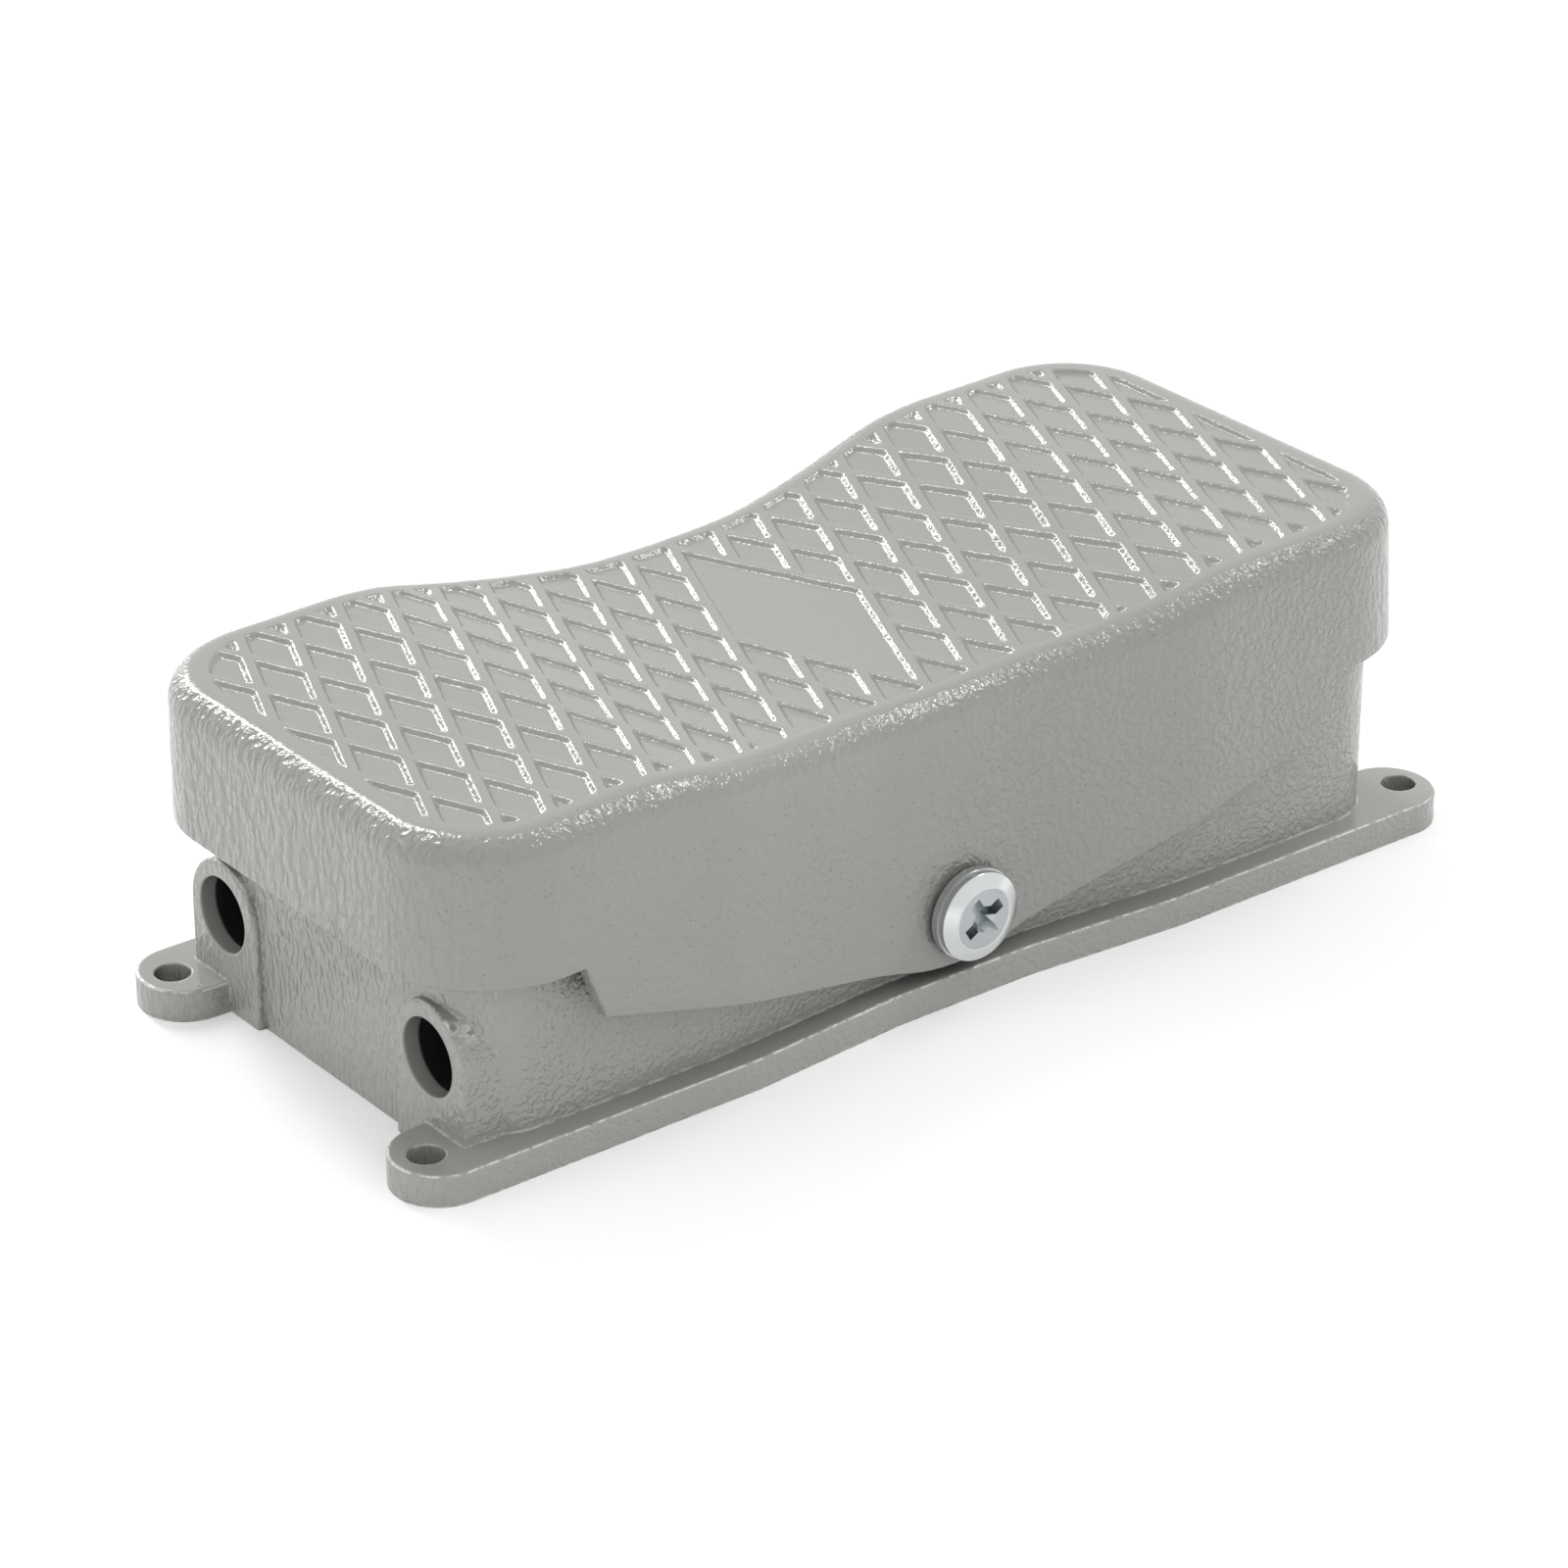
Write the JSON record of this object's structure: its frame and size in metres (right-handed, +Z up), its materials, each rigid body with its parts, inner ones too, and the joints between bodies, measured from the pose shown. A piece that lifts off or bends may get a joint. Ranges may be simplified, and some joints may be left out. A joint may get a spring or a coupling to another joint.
{
  "type": "industrial foot switch",
  "caption": "Cast rocker foot switch: an hourglass pedal with a diamond tread and a dipped middle rocks on cross screws over a tub with bolt-down lugs and side cable entries",
  "frame": {"origin": "on the floor, in the middle of the four lug holes", "axes": "+X along the pedal away from the cable entries, +Y along the pivot line to the rear, +Z up; the front in the picture is -Y and the cable entries are at -X"},
  "size_m": [0.19, 0.0836, 0.056],
  "materials": {
    "grey_paint": "textured grey stoving paint on a casting",
    "zinc": "bright zinc plate",
    "bronze": "plain sintered bronze",
    "block_plastic": "black thermoset",
    "plunger_plastic": "natural nylon",
    "brass": "plain brass",
    "spring_steel": "plain spring wire",
    "black_rubber": "moulded black rubber"
  },
  "bodies": {
    "base": {"base_housing": "grey_paint", "pivot_screw_front": "zinc", "pivot_screw_rear": "zinc", "pivot_washer_front": "zinc", "pivot_washer_rear": "zinc", "switch_plate": "zinc", "plate_screws": "zinc", "contact_block_left": "block_plastic", "contact_block_right": "block_plastic", "terminal_clamps_left": "brass", "terminal_clamps_right": "brass", "terminal_screws_left": "zinc", "terminal_screws_right": "zinc", "block_screws_left": "zinc", "block_screws_right": "zinc", "return_spring_left": "spring_steel", "return_spring_right": "spring_steel", "rubber_stop_left": "black_rubber", "rubber_stop_right": "black_rubber", "earth_screw": "brass", "earth_washer": "brass"},
    "pedal": {"pedal_cover": "grey_paint", "pivot_bush_front": "bronze", "pivot_bush_rear": "bronze", "actuator_bolt_left": "zinc", "actuator_bolt_right": "zinc", "actuator_nut_left": "zinc", "actuator_nut_right": "zinc"},
    "plunger_left": {"plunger_left": "plunger_plastic"},
    "plunger_right": {"plunger_right": "plunger_plastic"},
    "spring_cap_left": {"spring_cap_left": "plunger_plastic"},
    "spring_cap_right": {"spring_cap_right": "plunger_plastic"}
  },
  "joints": [
    {"name": "pedal_rock", "type": "hinge", "parent": "base", "child": "pedal", "pos_m": [0, 0, 0.0146], "axis": [0, 1, 0], "range_deg": [-4, 7], "stiffness_Nm_per_rad": 12},
    {"name": "plunger_left_press", "type": "slide", "parent": "base", "child": "plunger_left", "axis": [0, 0, 1], "range_m": [-0.0016, 0.0028]},
    {"name": "plunger_right_press", "type": "slide", "parent": "base", "child": "plunger_right", "axis": [0, 0, 1], "range_m": [-0.0028, 0.0016]},
    {"name": "spring_cap_left_slide", "type": "slide", "parent": "base", "child": "spring_cap_left", "axis": [0, 0, 1], "range_m": [-0.0044, 0.0075], "deforming": ["return_spring_left"]},
    {"name": "spring_cap_right_slide", "type": "slide", "parent": "base", "child": "spring_cap_right", "axis": [0, 0, 1], "range_m": [-0.0075, 0.0044], "deforming": ["return_spring_right"]}
  ],
  "couplings": [
    {"joint": "plunger_left_press", "follows": "pedal_rock", "m_per_rad": 0.022},
    {"joint": "plunger_right_press", "follows": "pedal_rock", "m_per_rad": -0.022},
    {"joint": "spring_cap_left_slide", "follows": "pedal_rock", "m_per_rad": 0.06},
    {"joint": "spring_cap_right_slide", "follows": "pedal_rock", "m_per_rad": -0.06}
  ]
}
